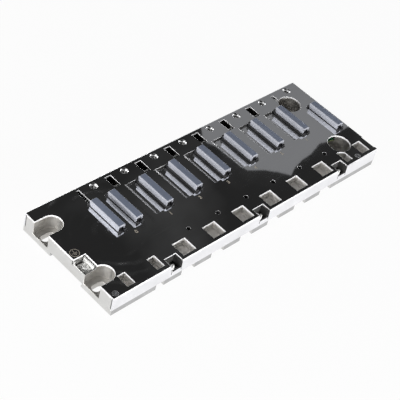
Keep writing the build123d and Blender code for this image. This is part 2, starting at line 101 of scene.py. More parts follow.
# Materials of the plate and of the base, in their order
# The plate's third finish paints walls near-black as shade, its fourth is the punched edge whose near-white also
# paints a highlight, and its last paints a highlight band.
FACE, EDGE, PAINTED_SHADE, CUT_AND_HIGHLIGHT, FUNNEL, PAINTED_HIGHLIGHT = range(6)
# The base's second finish paints narrow pockets near-black as shade, its third paints the hook pockets paler as light,
# and its last paints the front of the feet darker as shade.
SKIN, POCKET_SHADE, POCKET_LIGHT, RECESS, FOOT_SHADE = range(5)


def colour(default, name, description):
    """Colour property of a finish."""
    return FloatVectorProperty(name=name, description=description, default=default,
                               size=3, subtype="COLOR", min=0, max=1)


def length(default, name, description):
    """Length property in metres."""
    return FloatProperty(name=name, description=description, default=default, unit="LENGTH", precision=5)


def share(default, name, description):
    """Property between nothing and all."""
    return FloatProperty(name=name, description=description, default=default, min=0, max=1, subtype="FACTOR")


def plain(default, name, description, unit="NONE"):
    """Number without bounds, such as a rate or a power in watts."""
    return FloatProperty(name=name, description=description, default=default, unit=unit)


def count(default, name, description):
    """Whole number property."""
    return IntProperty(name=name, description=description, default=default, min=1)


class PlateSettings(bpy.types.PropertyGroup):
    """Bright folded plate."""

    face: colour((0.93, 0.935, 0.945), "Face", "Colour of the mirror-bright plating")
    edge: colour((0.80, 0.80, 0.82), "Edge", "Colour of the flanges and bends")
    gloss: share(0.018, "Gloss", "Roughness of the plated face")
    edge_metal: share(0.85, "Edge metal", "How metallic the flanges look")
    edge_roughness: share(0.32, "Edge roughness", "Roughness of the flanges")
    # The punched edges are bare cut metal; their near-white, barely metallic colour also paints their bright
    # highlight.
    cut: colour((0.93, 0.93, 0.94), "Cut", "Colour of the punched edges, near-white so that it also paints their highlight")
    cut_metal: share(0.25, "Cut metal", "How metallic the punched edges look")
    rounding: length(0.00012, "Rounding", "Width of the rounding along punched edges")
    arc_scale: plain(32.0, "Arc scale", "Polishing arcs in a metre")
    funnel_roughness: share(0.17, "Funnel roughness", "Roughness of the funnels of the module screws")
    arc_haze: share(0.26, "Arc haze", "How much rougher the polishing arcs are")
    arc_reach: length(0.10, "Arc reach", "How far left of the middle the polishing arcs are in full")
    arc_centre: length(0.108, "Arc centre", "How far left of the middle the polishing arcs are centred")
    # Painted highlight: the top band of each pressed recess's left slope gets a pale, barely metallic finish in place
    # of the highlight on its bend.
    roll: length(0.0015, "Roll", "Height of the band painted as a highlight along the left slope of each pressed recess")
    roll_metal: share(0.15, "Roll metal", "How metallic that painted highlight band looks")
    # Painted highlight: the top edges of pin windows, notches and recess ends are bevelled into a band of the
    # near-white punched-edge colour.
    rim: length(0.0004, "Rim", "Width of the rim painted as a highlight round pin windows, notches and recess ends")


class CastingSettings(bpy.types.PropertyGroup):
    """Die-cast base."""

    skin: colour((0.63, 0.63, 0.62), "Skin", "Colour of the cast skin")
    stain: colour((0.50, 0.49, 0.47), "Stain", "Colour of the darker clouds in the cast skin")
    # Painted light: the hook pockets are coloured paler than the cast skin to make up for the shade inside them.
    clean: colour((0.88, 0.86, 0.83), "Clean", "Colour of the hook pockets, painted paler as light")
    # The fixing recesses are coloured darker and browner than the cast skin.
    recess: colour((0.56, 0.545, 0.52), "Recess", "Colour of the fixing recesses, darker and browner than the cast skin")
    recess_metal: share(0.85, "Recess metal", "How metallic the fixing recesses look")
    recess_roughness: share(0.36, "Recess roughness", "Roughness of the skin in the fixing recesses")
    # Painted shade: the front faces of the feet, low by the floor, are coloured darker than the cast skin.
    foot: colour((0.44, 0.44, 0.44), "Foot", "Colour of the front of the feet, painted darker as shade")
    # Painted shade: near-black colour for the walls of narrow pockets, holes and windows.
    pocket: colour((0.03, 0.029, 0.028), "Pocket", "Colour of the shade painted into narrow pockets")
    roughness: share(0.30, "Roughness", "Roughness of the cast skin")
    metal: share(0.92, "Metal", "How metallic the cast skin looks")
    clean_metal: share(0.15, "Clean metal", "How metallic the hook pockets look")
    rounding: length(0.0003, "Rounding", "Width of the rounding along cast edges")


class BoardSettings(bpy.types.PropertyGroup):
    """Printed circuit board."""

    mask: colour((0.012, 0.11, 0.045), "Mask", "Colour of the solder mask")
    track: colour((0.03, 0.20, 0.08), "Track", "Colour of the mask over copper tracks")
    laminate: colour((0.42, 0.50, 0.24), "Laminate", "Colour of the cut laminate edge")
    track_scale: plain(340.0, "Track scale", "Tracks in a metre")
    rounding: length(0.0001, "Rounding", "Width of the rounding along the board's edge")


class MouldingSettings(bpy.types.PropertyGroup):
    """Connectors and their caps."""

    cap: colour((0.335, 0.345, 0.385), "Cap", "Colour of the protective caps")
    # Painted shade: the upward faces of the caps get a darker colour than their sides.
    crown: colour((0.235, 0.27, 0.36), "Crown", "Colour of the top of the caps, painted darker as shade")
    body: colour((0.018, 0.018, 0.020), "Body", "Colour of the connector bodies")
    skirt: length(0.0011, "Skirt", "How far a cap reaches down past its construction mesh")
    cap_roughness: share(0.38, "Cap roughness", "Roughness of the satin caps")
    body_roughness: share(0.45, "Body roughness", "Roughness of the connector bodies")
    rounding: length(0.00014, "Rounding", "Width of the rounding along moulded edges")


class HardwareSettings(bpy.types.PropertyGroup):
    """Screws, clips, springs, the ground bar and the ground terminal."""

    zinc: colour((0.66, 0.67, 0.69), "Zinc", "Colour of the zinc-plated steel")
    tin: colour((0.94, 0.94, 0.92), "Tin", "Colour of the tinned terminal")
    tin_metal: share(0.25, "Tin metal", "How metallic the tinned terminal looks")
    dulled: colour((0.20, 0.20, 0.20), "Dulled", "Colour of the clips' dark grey steel")
    spring: colour((0.62, 0.62, 0.64), "Spring", "Colour of the spring steel")
    roughness: share(0.24, "Roughness", "Roughness of the plated hardware")
    rounding: length(0.0001, "Rounding", "Width of the rounding along hardware edges")
    head_rounding: length(0.0002, "Head rounding", "Width of the rounding of the plate screws' heads")
    catch_ahead: length(0.0011, "Catch ahead", "How far a clip's front tab stands before the clip")
    catch_width: length(0.0019, "Catch width", "Width of a clip's front tab")
    catch_foot: length(0.0117, "Catch foot", "Height of the lower end of a clip's front tab")
    drive_width: length(0.00075, "Drive width", "Width of each slot of a crossed drive")
    drive_depth: length(0.0011, "Drive depth", "Depth of a crossed drive")
    thread_pitch: length(0.0007, "Thread pitch", "Rise of a module screw thread in one turn")
    thread_turns: count(9, "Thread turns", "Turns of thread in each module screw hole")
    thread_steps: count(18, "Thread steps", "Steps in one turn of thread")
    thread_height: length(0.0003, "Thread height", "How far the thread stands into its hole")


class MarkSettings(bpy.types.PropertyGroup):
    """Printed numbers and the earth sign."""

    ink: colour((0.52, 0.47, 0.40), "Ink", "Colour of the print")
    number_size: length(0.0046, "Number size", "Height of the slot numbers' type")
    number_weight: length(0.00018, "Number weight", "How much bolder than its type a number is")
    number_ahead: length(0.0054, "Number ahead", "Gap between a connector and its number")
    number_left: length(0.0050, "Number left", "How far left of its connector a number is")
    first_left: length(0.0089, "First number left", "How far left of its connector the first number is")
    sign_radius: length(0.0040, "Sign radius", "Radius of the ring of the earth sign")
    sign_right: length(0.0006, "Sign right", "How far right of the ground pocket's middle the earth sign is")
    sign_behind: length(0.0069, "Sign behind", "Gap between the ground pocket and the middle of the earth sign")
    line: length(0.00038, "Line", "Width of the printed lines")
    film: length(0.00001, "Film", "Thickness of the print")


class StageSettings(bpy.types.PropertyGroup):
    """Floor, camera, lamps and surroundings."""

    camera_place: FloatVectorProperty(name="Camera place", description="Where the camera stands",
                                      default=(-0.60457, -0.43081, 0.68618), size=3, subtype="TRANSLATION")
    camera_turn: FloatVectorProperty(name="Camera turn", description="How the camera is turned",
                                     default=[math.radians(a) for a in (45.9163, -10.9319, -43.6602)],
                                     size=3, subtype="EULER")
    lens: plain(109.766, "Lens", "Focal length on a 36 mm sensor, in millimetres")
    floor_size: length(12.0, "Floor size", "Side of the floor")
    floor_shade: share(0.86, "Floor shade", "Reflectance of the floor")
    floor_glow: share(0.95, "Floor glow", "How much of the floor shows as plain white to camera and mirrors")
    floor_white: share(1.0, "Floor white", "Brightness of that plain white")
    ceiling: share(0.019, "Ceiling", "Brightness of the dark ceiling that the plate mirrors")
    mottle: share(0.045, "Mottle", "Brightness of the paler clouds in the mirrored ceiling")
    horizon: share(0.95, "Horizon", "Brightness of the pale walls that the metal mirrors")
    wall_light: share(0.12, "Wall light", "Light that falls in from low down all round")
    sky_light: share(0.03, "Sky light", "Light that falls in from above")
    left_power: plain(11.0, "Left power", "Power of the lamp at the left end", "POWER")
    front_power: plain(12.0, "Front power", "Power of the lamp at the front edge", "POWER")
    back_power: plain(4.0, "Back power", "Power of the weaker lamps behind", "POWER")
    top_power: plain(0.7, "Top power", "Power of the weak lamp overhead", "POWER")
    high_power: plain(2.4, "High power", "Power of the wide lamp above the left end", "POWER")
    card: share(0.20, "Card", "Brightness of the grey card mirrored in the plate")


class RackSettings(bpy.types.PropertyGroup):
    """Sizes and colours of all the pieces."""

    plate: PointerProperty(type=PlateSettings)
    casting: PointerProperty(type=CastingSettings)
    board: PointerProperty(type=BoardSettings)
    moulding: PointerProperty(type=MouldingSettings)
    hardware: PointerProperty(type=HardwareSettings)
    mark: PointerProperty(type=MarkSettings)
    stage: PointerProperty(type=StageSettings)


# Shader nodes

def put(tree, kind, inputs=None, **settings):
    """Add a node, set its options, and fill its inputs with values or linked sockets."""
    node = tree.nodes.new(kind)
    for key, value in settings.items():
        setattr(node, key, value)
    for key, value in (inputs or {}).items():
        if isinstance(value, bpy.types.NodeSocket):
            tree.links.new(value, node.inputs[key])
        else:
            node.inputs[key].default_value = value
    return node


def maths(tree, operation, a, b=0.0, c=0.0):
    """Value of a sum, product or like operation."""
    return put(tree, "ShaderNodeMath", {0: a, 1: b, 2: c}, operation=operation).outputs[0]


def blend(tree, mask, a, b):
    """Colour between two colours."""
    return put(tree, "ShaderNodeMix", {0: mask, 6: a, 7: b}, data_type="RGBA").outputs[2]


def ramp(tree, value, low, high, low_to=0.0, high_to=1.0):
    """Value stretched from one range to another and held inside it."""
    inputs = {0: value, 1: low, 2: high, 3: low_to, 4: high_to}
    return put(tree, "ShaderNodeMapRange", inputs, clamp=True).outputs[0]


def noise(tree, vector, scale, detail, roughness):
    """Value of a noise field."""
    inputs = {"Vector": vector, "Scale": scale, "Detail": detail, "Roughness": roughness}
    return put(tree, "ShaderNodeTexNoise", inputs).outputs[0]


def bumps(tree, height, distance):
    """Normal of a surface with that height."""
    return put(tree, "ShaderNodeBump", {"Height": height, "Distance": distance, "Strength": 1.0}).outputs[0]


def own_place(tree):
    """Place on the piece itself."""
    return put(tree, "ShaderNodeTexCoord").outputs["Object"]


def new_group(name, inputs, outputs):
    """Empty shader node group with named sockets, each (name, kind, default)."""
    tree = bpy.data.node_groups.new(name, "ShaderNodeTree")
    for label, kind, default in inputs:
        socket = tree.interface.new_socket(label, in_out="INPUT", socket_type=kind)
        if default is not None:
            socket.default_value = default
    for label, kind in outputs:
        tree.interface.new_socket(label, in_out="OUTPUT", socket_type=kind)
    return tree, tree.nodes.new("NodeGroupInput"), tree.nodes.new("NodeGroupOutput")


def grain_group():
    """Clouded roughness and fine bumps, for every satin or cast surface."""
    value, vector = "NodeSocketFloat", "NodeSocketVector"
    inputs = [("Vector", vector, None), ("Scale", value, 900.0), ("Cloud Scale", value, 60.0)]
    inputs += [("Smooth", value, 0.3), ("Rough", value, 0.5), ("Depth", value, 0.00002)]
    outputs = [("Roughness", value), ("Cloud", value), ("Normal", vector)]
    tree, source, target = new_group("Surface Grain", inputs, outputs)
    taken = source.outputs
    fine = noise(tree, taken["Vector"], taken["Scale"], 4.0, 0.62)
    cloud = noise(tree, taken["Vector"], taken["Cloud Scale"], 5.0, 0.6)
    mixed = maths(tree, "MULTIPLY_ADD", fine, 0.35, cloud)
    tree.links.new(ramp(tree, mixed, 0.4, 0.95, taken["Smooth"], taken["Rough"]), target.inputs["Roughness"])
    tree.links.new(ramp(tree, cloud, 0.32, 0.68), target.inputs["Cloud"])
    tree.links.new(bumps(tree, fine, taken["Depth"]), target.inputs["Normal"])
    return tree


def scratch_group():
    """Mask of fine rubbed lines that run mostly along the rack."""
    inputs = [("Vector", "NodeSocketVector", None), ("Scale", "NodeSocketFloat", 70.0)]
    tree, source, target = new_group("Rubbed Lines", inputs, [("Mask", "NodeSocketFloat")])
    masks = []
    for turn, stretch in ((0.12, 26.0), (-0.5, 17.0), (1.2, 21.0)):
        mapping = put(tree, "ShaderNodeMapping", {"Vector": source.outputs["Vector"], "Rotation": (0, 0, turn),
                                                  "Scale": (1.0, stretch, 1.0)})
        lines = noise(tree, mapping.outputs[0], source.outputs["Scale"], 3.0, 0.7)
        masks.append(ramp(tree, lines, 0.62, 0.70))
    most = maths(tree, "MAXIMUM", masks[0], masks[1])
    tree.links.new(maths(tree, "MAXIMUM", most, masks[2]), target.inputs["Mask"])
    return tree


def shared(tree, name, maker, inputs):
    """Outputs of a shared node group, which is made the first time that it is asked for."""
    group = bpy.data.node_groups.get(name) or maker()
    inputs = {"Vector": own_place(tree), **inputs}
    return put(tree, "ShaderNodeGroup", inputs, node_tree=group).outputs


def grain(tree, scale, cloud_scale, smooth, rough, depth):
    """Outputs of the shared grain group with its own values."""
    inputs = {"Scale": scale, "Cloud Scale": cloud_scale, "Smooth": smooth, "Rough": rough, "Depth": depth}
    return shared(tree, "Surface Grain", grain_group, inputs)


def rubbed(tree, scale):
    """Mask of the shared group of rubbed lines."""
    return shared(tree, "Rubbed Lines", scratch_group, {"Scale": scale})["Mask"]


def finish(name, **values):
    """New material with its plain values set on the shader's own sockets."""
    material = bpy.data.materials.new(name)
    material.use_nodes = True
    tree = material.node_tree
    shader = tree.nodes["Principled BSDF"]
    for key, value in values.items():
        shader.inputs[key.replace("_", " ")].default_value = value
    return material, tree, shader


def wire(tree, shader, tone, roughness, normal):
    """Link what varies to the shader."""
    for key, socket in (("Base Color", tone), ("Roughness", roughness), ("Normal", normal)):
        tree.links.new(socket, shader.inputs[key])


def shaded(rgb, factor=1.0):
    """The same colour at another level, with full alpha."""
    return (*(channel * factor for channel in rgb), 1.0)


def plated_face(settings):
    """Mirror-bright plating with faint polishing waves and rubbed lines."""
    material, tree, shader = finish("bright plate face", Metallic=1.0)
    out = grain(tree, 260.0, 14.0, settings.gloss * 0.7, settings.gloss * 1.7, 0.0000006)
    lines = rubbed(tree, 30.0)
    tone = blend(tree, out["Cloud"], shaded(settings.face, 0.94), shaded(settings.face))
    tone = blend(tree, lines, tone, shaded(settings.face, 1.03))
    place = own_place(tree)
    centre = put(tree, "ShaderNodeMapping", {"Vector": place, "Location": (settings.arc_centre, 0.0, 0.0)})
    wave = put(tree, "ShaderNodeTexWave", {"Vector": centre.outputs[0], "Scale": settings.arc_scale,
                                           "Distortion": 3.0, "Detail": 2.0, "Detail Scale": 1.4},
               wave_type="RINGS", rings_direction="Z")
    patches = ramp(tree, noise(tree, place, 34.0, 2.0, 0.5), 0.48, 0.72)
    along = put(tree, "ShaderNodeSeparateXYZ", {0: place}).outputs["X"]
    left = ramp(tree, along, -settings.arc_reach, -settings.arc_reach / 2, 1.0, 0.0)
    patches = maths(tree, "MULTIPLY", patches, left)
    arcs = maths(tree, "MULTIPLY", ramp(tree, wave.outputs["Fac"], 0.45, 1.0), patches)
    haze = maths(tree, "MULTIPLY_ADD", arcs, settings.arc_haze, out["Roughness"])
    rough = maths(tree, "MULTIPLY_ADD", lines, 0.02, haze)
    wire(tree, shader, tone, rough, bumps(tree, noise(tree, place, 9.0, 1.0, 0.4), 0.00018))
    return material


def skin(name, metal, dark, light, scales, roughness, depth):
    """Surface with darker clouds, varied roughness and fine bumps."""
    material, tree, shader = finish(name, Metallic=metal)
    out = grain(tree, *scales, *roughness, depth)
    wire(tree, shader, blend(tree, out["Cloud"], dark, light), out["Roughness"], out["Normal"])
    return material


def clouded(name, metal, rgb, shade, grains, roughness, depth):
    """Skin of one colour, with clouds twelve times as wide as its grains."""
    return skin(name, metal, shaded(rgb, shade), shaded(rgb), (grains, grains / 12),
                (roughness * 0.85, roughness * 1.2), depth)


def moulded(name, rgb, roughness, scale, depth):
    """Moulded plastic with a fine spark-eroded grain."""
    return skin(name, 0.0, shaded(rgb, 0.93), shaded(rgb, 1.05), (scale, 70.0),
                (roughness * 0.85, roughness * 1.2), depth)


def plated_edge(settings):
    """Bends and flanges of the plate, bright and a little duller."""
    rough = settings.edge_roughness
    return skin("bright plate edge", settings.edge_metal, shaded(settings.edge, 0.93), shaded(settings.edge),
                (700.0, 45.0), (rough * 0.8, rough * 1.25), 0.000003)


def printed_ink(settings):
    """Matt screen print, thin and slightly uneven."""
    return skin("screen print", 0.0, shaded(settings.ink, 0.85), shaded(settings.ink, 1.1), (2600.0, 500.0),
                (0.5, 0.75), 0.000002)


def pocket_skin(settings):
    """Near-black skin painted into narrow pockets, holes and windows as their shade."""
    return clouded("painted pocket shade", 0.0, settings.pocket, 0.6, 1100.0, 0.7, 0.00003)


def cast_skin(settings):
    """Die-cast skin, clouded and finely pitted."""
    material, tree, shader = finish("cast skin", Metallic=settings.metal)
    out = grain(tree, 1100.0, 55.0, settings.roughness * 0.85, settings.roughness * 1.2, 0.000012)
    tone = blend(tree, out["Cloud"], shaded(settings.stain), shaded(settings.skin))
    tone = blend(tree, 0.55, tone, shaded(settings.skin))
    wire(tree, shader, tone, out["Roughness"], out["Normal"])
    return material


def plated_hardware(name, rgb, roughness, metal=0.9, depth=0.000004):
    """Plated steel with clouds and rubbed lines."""
    material, tree, shader = finish(name, Metallic=metal)
    out = grain(tree, 1500.0, 160.0, roughness * 0.8, roughness * 1.4, depth)
    tone = blend(tree, out["Cloud"], shaded(rgb, 0.82), shaded(rgb))
    tone = blend(tree, rubbed(tree, 420.0), tone, shaded(rgb, 1.1))
    wire(tree, shader, tone, out["Roughness"], out["Normal"])
    return material


def board_mask(settings):
    """Solder mask with tracks under it, and the pale laminate on the cut edge."""
    material, tree, shader = finish("solder mask", Roughness=0.28, Coat_Weight=0.3, Coat_Roughness=0.15)
    inputs = {"Vector": own_place(tree), "Scale": settings.track_scale, "Mortar Size": 0.16,
              "Brick Width": 9.0, "Row Height": 0.55}
    tracks = put(tree, "ShaderNodeTexBrick", inputs).outputs["Fac"]
    tone = blend(tree, tracks, shaded(settings.mask), shaded(settings.track))
    upright = put(tree, "ShaderNodeSeparateXYZ", {0: put(tree, "ShaderNodeNewGeometry").outputs["Normal"]})
    flat = ramp(tree, maths(tree, "ABSOLUTE", upright.outputs["Z"]), 0.5, 0.7)
    tree.links.new(blend(tree, flat, shaded(settings.laminate), tone), shader.inputs["Base Color"])
    tree.links.new(bumps(tree, tracks, 0.00003), shader.inputs["Normal"])
    return material


# Meshes

def merged(node):
    """Copy of a construction mesh with its points merged and its flat faces joined."""
    mesh = bmesh.new()
    mesh.from_mesh(frame["nodes"][node].data)
    bmesh.ops.remove_doubles(mesh, verts=mesh.verts, dist=MERGE)
    bmesh.ops.dissolve_limit(mesh, angle_limit=FLAT, verts=mesh.verts, edges=mesh.edges)
    return mesh


def turned(edge):
    """Angle between an edge's two faces, or nothing along an open edge."""
    return edge.calc_face_angle(0.0) if edge.is_manifold else 0.0


def roomy(edge, width):
    """True where no short edge meets this one across, so that a bevel has room."""
    line = (edge.verts[1].co - edge.verts[0].co).normalized()
    for vert in edge.verts:
        for other in vert.link_edges:
            if other is edge or other.calc_length() > ROOM * width:
                continue
            across = (other.other_vert(vert).co - vert.co).normalized()
            if abs(across.dot(line)) < ALONG:
                return False
    return True


def rounded(mesh, width):
    """Bevel the sharp outer edges that have room for it."""
    edges = [edge for edge in mesh.edges
             if turned(edge) > CORNER and edge.is_convex and edge.calc_length() > width and roomy(edge, width)]
    bmesh.ops.bevel(mesh, geom=edges, offset=width, offset_type="OFFSET", affect="EDGES", segments=2,
                    profile=0.5, material=-1, clamp_overlap=False)
    return mesh


def shown(name, data):
    """New object in the scene."""
    item = bpy.data.objects.new(name, data)
    bpy.context.scene.collection.objects.link(item)
    return item


def solid(mesh, name, materials=()):
    """New object from a bmesh, which is freed."""
    data = bpy.data.meshes.new(name)
    mesh.to_mesh(data)
    mesh.free()
    for material in materials:
        data.materials.append(material)
    return shown(name, data)


def made(mesh, name, materials, pick=None, crease=None):
    """Turn a bmesh into a finished piece that rides on the rack."""
    for face in mesh.faces:
        face.smooth = True
        face.material_index = pick(face) if pick else 0
    for edge in mesh.edges:
        edge.smooth = turned(edge) < SHARP and not (crease and crease(edge))
    piece = solid(mesh, name, materials)
    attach(piece, BODY)
    evened(piece)
    return piece


def evened(piece):
    """Let the large faces lead the shading, so that only the roundings blend."""
    shading = piece.modifiers.new("even shading", "WEIGHTED_NORMAL")
    shading.keep_sharp = True


def dressed(node, materials, width, pick=None):
    """Piece that stands for a construction node, with rounded edges."""
    piece = made(rounded(merged(node), width), node + "_finished", materials, pick)
    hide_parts(node)
    return piece


def line_of(mesh, points):
    """Points joined by edges, one after another."""
    verts = [mesh.verts.new(point) for point in points]
    return verts, [mesh.edges.new(pair) for pair in zip(verts, verts[1:])]


def sheet_of(mesh, points):
    """Flat face inside an outline."""
    verts, edges = line_of(mesh, points)
    edges.append(mesh.edges.new((verts[-1], verts[0])))
    return bmesh.ops.contextual_create(mesh, geom=edges)["faces"][0]


def lathe(mesh, profile, x, y):
    """Turn a profile of (radius, height) round an upright axis."""
    verts, edges = line_of(mesh, [(x + radius, y, z) for radius, z in profile])
    bmesh.ops.spin(mesh, geom=verts + edges, cent=(x, y, 0), axis=UP, angle=math.tau, steps=40,
                   use_merge=True, use_duplicate=False)
    bmesh.ops.remove_doubles(mesh, verts=mesh.verts, dist=MERGE)
    bmesh.ops.recalc_face_normals(mesh, faces=mesh.faces)


def bar_shape(mesh, x, y, z, size, turn=0.0):
    """Rectangular bar of a size, turned about its upright axis."""
    matrix = Matrix.Translation((x, y, z)) @ Matrix.Rotation(turn, 4, "Z") @ Matrix.Diagonal((*size, 1.0))
    bmesh.ops.create_cube(mesh, size=1.0, matrix=matrix)


def cut(piece, shapes):
    """Take shapes away from a finished piece, one after another."""
    piece.modifiers.clear()
    cutters = [solid(shape, "cutter") for shape in shapes]
    for cutter in cutters:
        modifier = piece.modifiers.new("cut", "BOOLEAN")
        modifier.operation = "DIFFERENCE"
        modifier.solver = "EXACT"
        modifier.object = cutter
    whole = len(piece.data.polygons)
    graph = bpy.context.evaluated_depsgraph_get()
    result = bpy.data.meshes.new_from_object(piece.evaluated_get(graph))
    if len(result.polygons) < whole:
        raise RuntimeError("cutting %s took away more than its drives" % piece.name)
    piece.modifiers.clear()
    piece.data = result
    for cutter in cutters:
        bpy.data.objects.remove(cutter)
    mesh = bmesh.new()
    mesh.from_mesh(result)
    for edge in mesh.edges:
        edge.smooth = turned(edge) < SHARP
    mesh.to_mesh(result)
    mesh.free()
    evened(piece)


def crossed_drive(points, top, span, settings, turn=0.0):
    """Two cutters for the crossed drives of screws, one for each slot."""
    shapes = []
    for quarter in (0.0, math.pi / 2):
        mesh = bmesh.new()
        for x, y in points:
            size = (span, settings.drive_width, 2 * settings.drive_depth)
            bar_shape(mesh, x, y, top, size, turn + quarter)
        shapes.append(mesh)
    return shapes


# Places

def pattern_points(prefix):
    """Hole centres of the bolt patterns whose names start with a word."""
    points = []
    for name in sorted(MOUNTS):
        if name.startswith(prefix):
            x, y = MOUNTS[name]["pos_m"][:2]
            half = MOUNTS[name]["dims"]["spacing_x_mm"] / 2000
            points += [(x - half, y), (x + half, y)]
    return sorted(points)


def end_points(node):
    """Centres of the two like fasteners at the ends of a node's box, and their radius."""
    low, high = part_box(node)
    radius = (high.y - low.y) / 2
    middle = (high.y + low.y) / 2
    return [(low.x + radius, middle), (high.x - radius, middle)], radius


def within(point, zone):
    """True for a point inside a box given by its two corners."""
    low, high = zone
    return all(low[axis] <= point[axis] <= high[axis] for axis in range(3))


def inside(point, zones):
    """True for a point inside one of several boxes."""
    return any(within(point, zone) for zone in zones)


def opening_zones(prefix, margin):
    """Boxes of the openings whose names start with a word, grown by a margin."""
    grow = Vector((margin, margin, margin))
    return [(Vector(box[0]) - grow, Vector(box[1]) + grow) for name, box in OPENINGS.items()
            if name.startswith(prefix)]


def round_zones(points, reach):
    """Upright boxes round a row of holes."""
    grow = Vector((reach, reach, 1))
    return [(Vector((x, y, 0)) - grow, Vector((x, y, 0)) + grow) for x, y in points]


def notch_zones():
    """Boxes round the clip notches, behind the outside of the front flange."""
    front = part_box("front_plate")[0].y + 0.0003
    before = 0.0012
    beyond = 0.0009
    behind = 0.001
    bottom = 0.007
    zones = []
    for number in (1, 2, 3):
        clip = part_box("clip_%d" % number)[0]
        x, y = OPENINGS["clip_notch_%d" % number][1][:2]
        zones.append((Vector((clip.x - before, front, bottom)), Vector((x + beyond, y + behind, 1))))
    return zones


# Operators, one for each piece or group of like pieces

class RackOperator(bpy.types.Operator):
    """Base of the rack's operators."""

    bl_options = {"REGISTER", "UNDO"}


class RACK_OT_plate(RackOperator):
    """Folded front plate with a mirror-bright face, duller near-white cut edges that also paint a highlight, walls
    painted near-black as shade and a painted highlight band in each recess
    """

    bl_idname = "rack.plate"
    bl_label = "Front Plate"

    def execute(self, context):
        rack = context.scene.rack
        settings = rack.plate
        # Mirror face, flanges, near-black painted shade, punched edge that also paints a highlight, funnel plating,
        # and a pale band painted as a highlight.
        materials = [
            plated_face(settings), plated_edge(settings), pocket_skin(rack.casting),
            clouded("punched edge and painted rim highlight", settings.cut_metal, settings.cut, 0.9, 1800.0, 0.4, 0.000006),
            clouded("funnel plating", 1.0, settings.face, 0.97, 500.0, settings.funnel_roughness, 0.000001),
            clouded("painted highlight band", settings.roll_metal, settings.edge, 0.92, 700.0, 0.35, 0.000003),
        ]
        pans = (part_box("cap_c")[0] - PANS_BEFORE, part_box("cap_h")[1] + PANS_AFTER)
        sheet = PLATE_TOP - SHEET
        # Lower edge of the band painted as a highlight on each recess's left slope.
        roll = PLATE_TOP - settings.roll
        notches = notch_zones()
        funnels = round_zones(pattern_points("module_screws"), FUNNEL_REACH)
        holes = round_zones(pattern_points("locating"), HOLE_REACH)
        holes += round_zones(end_points("plate_screws")[0], FUNNEL_REACH)
        pins = opening_zones("pin_window", PIN_REACH)
        sockets = [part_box("connector_" + letter) for letter in LETTERS]
        sockets = [(low - SOCKET_REACH, high + SOCKET_REACH) for low, high in sockets]

        def finish_of(face):
            """Number of a face's material."""
            middle = face.calc_center_median()
            normal = face.normal
            if normal.z > LEVEL:
                return FACE
            if inside(middle, funnels):
                return FUNNEL
            # Notches: bevelled rims near-white as a painted highlight, side walls below the sheet near-black as
            # painted shade.
            if inside(middle, notches):
                if normal.z > UPRIGHT:
                    return CUT_AND_HIGHLIGHT
                if middle.z < sheet and abs(normal.x) > FACING:
                    return PAINTED_SHADE
                return EDGE if normal.y < -FACING and middle.z < sheet else FACE
            # Walls of the locating holes and screw countersinks painted near-black as shade.
            if inside(middle, holes):
                return PAINTED_SHADE if normal.z < UPRIGHT else EDGE
            # Pressed recesses: the back wall is painted near-black as shade and its rim near-white as a highlight; the
            # top band of the left slope is painted as a highlight.
            if within(middle, pans):
                if normal.y < -FACING:
                    return PAINTED_SHADE if normal.z < UPRIGHT else CUT_AND_HIGHLIGHT
                if normal.x > UPRIGHT and middle.z > roll:
                    return PAINTED_HIGHLIGHT
                return FACE if normal.z > 0.7 else EDGE
            # Walls of the pin windows painted near-black as shade.
            if inside(middle, pins) and normal.z < UPRIGHT:
                return PAINTED_SHADE
            # Cut edges of the sheet: near-white, partly their bare metal, partly a painted highlight.
            return CUT_AND_HIGHLIGHT if middle.z > sheet and not inside(middle, sockets) else EDGE

        def rimmed(edge):
            """True for a top edge that gets a rim painted as a highlight."""
            if len(edge.link_faces) != 2 or min(point.co.z for point in edge.verts) < PLATE_TOP - MERGE:
                return False
            flat, wall = sorted(edge.link_faces, key=lambda face: -face.normal.z)
            spot = (edge.verts[0].co + edge.verts[1].co) / 2
            upright = flat.normal.z > LEVEL and abs(wall.normal.z) < UPRIGHT
            return upright and (inside(spot, pins + notches) or within(spot, pans) and wall.normal.y < -FACING)

        def folded(edge):
            """True for a crease between two broad faces of a pressed recess."""
            broad = all(face.calc_area() > BROAD for face in edge.link_faces)
            return broad and turned(edge) > FOLD and within(edge.verts[0].co, pans)

        mesh = merged("front_plate")
        # Split the left slopes of the pressed recesses where the painted highlight band begins.
        slopes = [face for face in mesh.faces
                  if UPRIGHT < face.normal.x < 0.8 and within(face.calc_center_median(), pans)]
        around = {part for face in slopes for part in (*face.edges, *face.verts)}
        bmesh.ops.bisect_plane(mesh, geom=[*slopes, *around], dist=MERGE, plane_co=(0, 0, roll), plane_no=UP)
        # Bevel those top edges into a rim that the near-white punched-edge colour paints as a highlight.
        bmesh.ops.bevel(mesh, geom=[edge for edge in mesh.edges if rimmed(edge)], offset=settings.rim,
                        affect="EDGES", segments=1, profile=0.5, material=-1)
        rounded(mesh, settings.rounding)
        piece = made(mesh, "front_plate_finished", materials, finish_of, folded)
        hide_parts("front_plate")
        return {"FINISHED"}


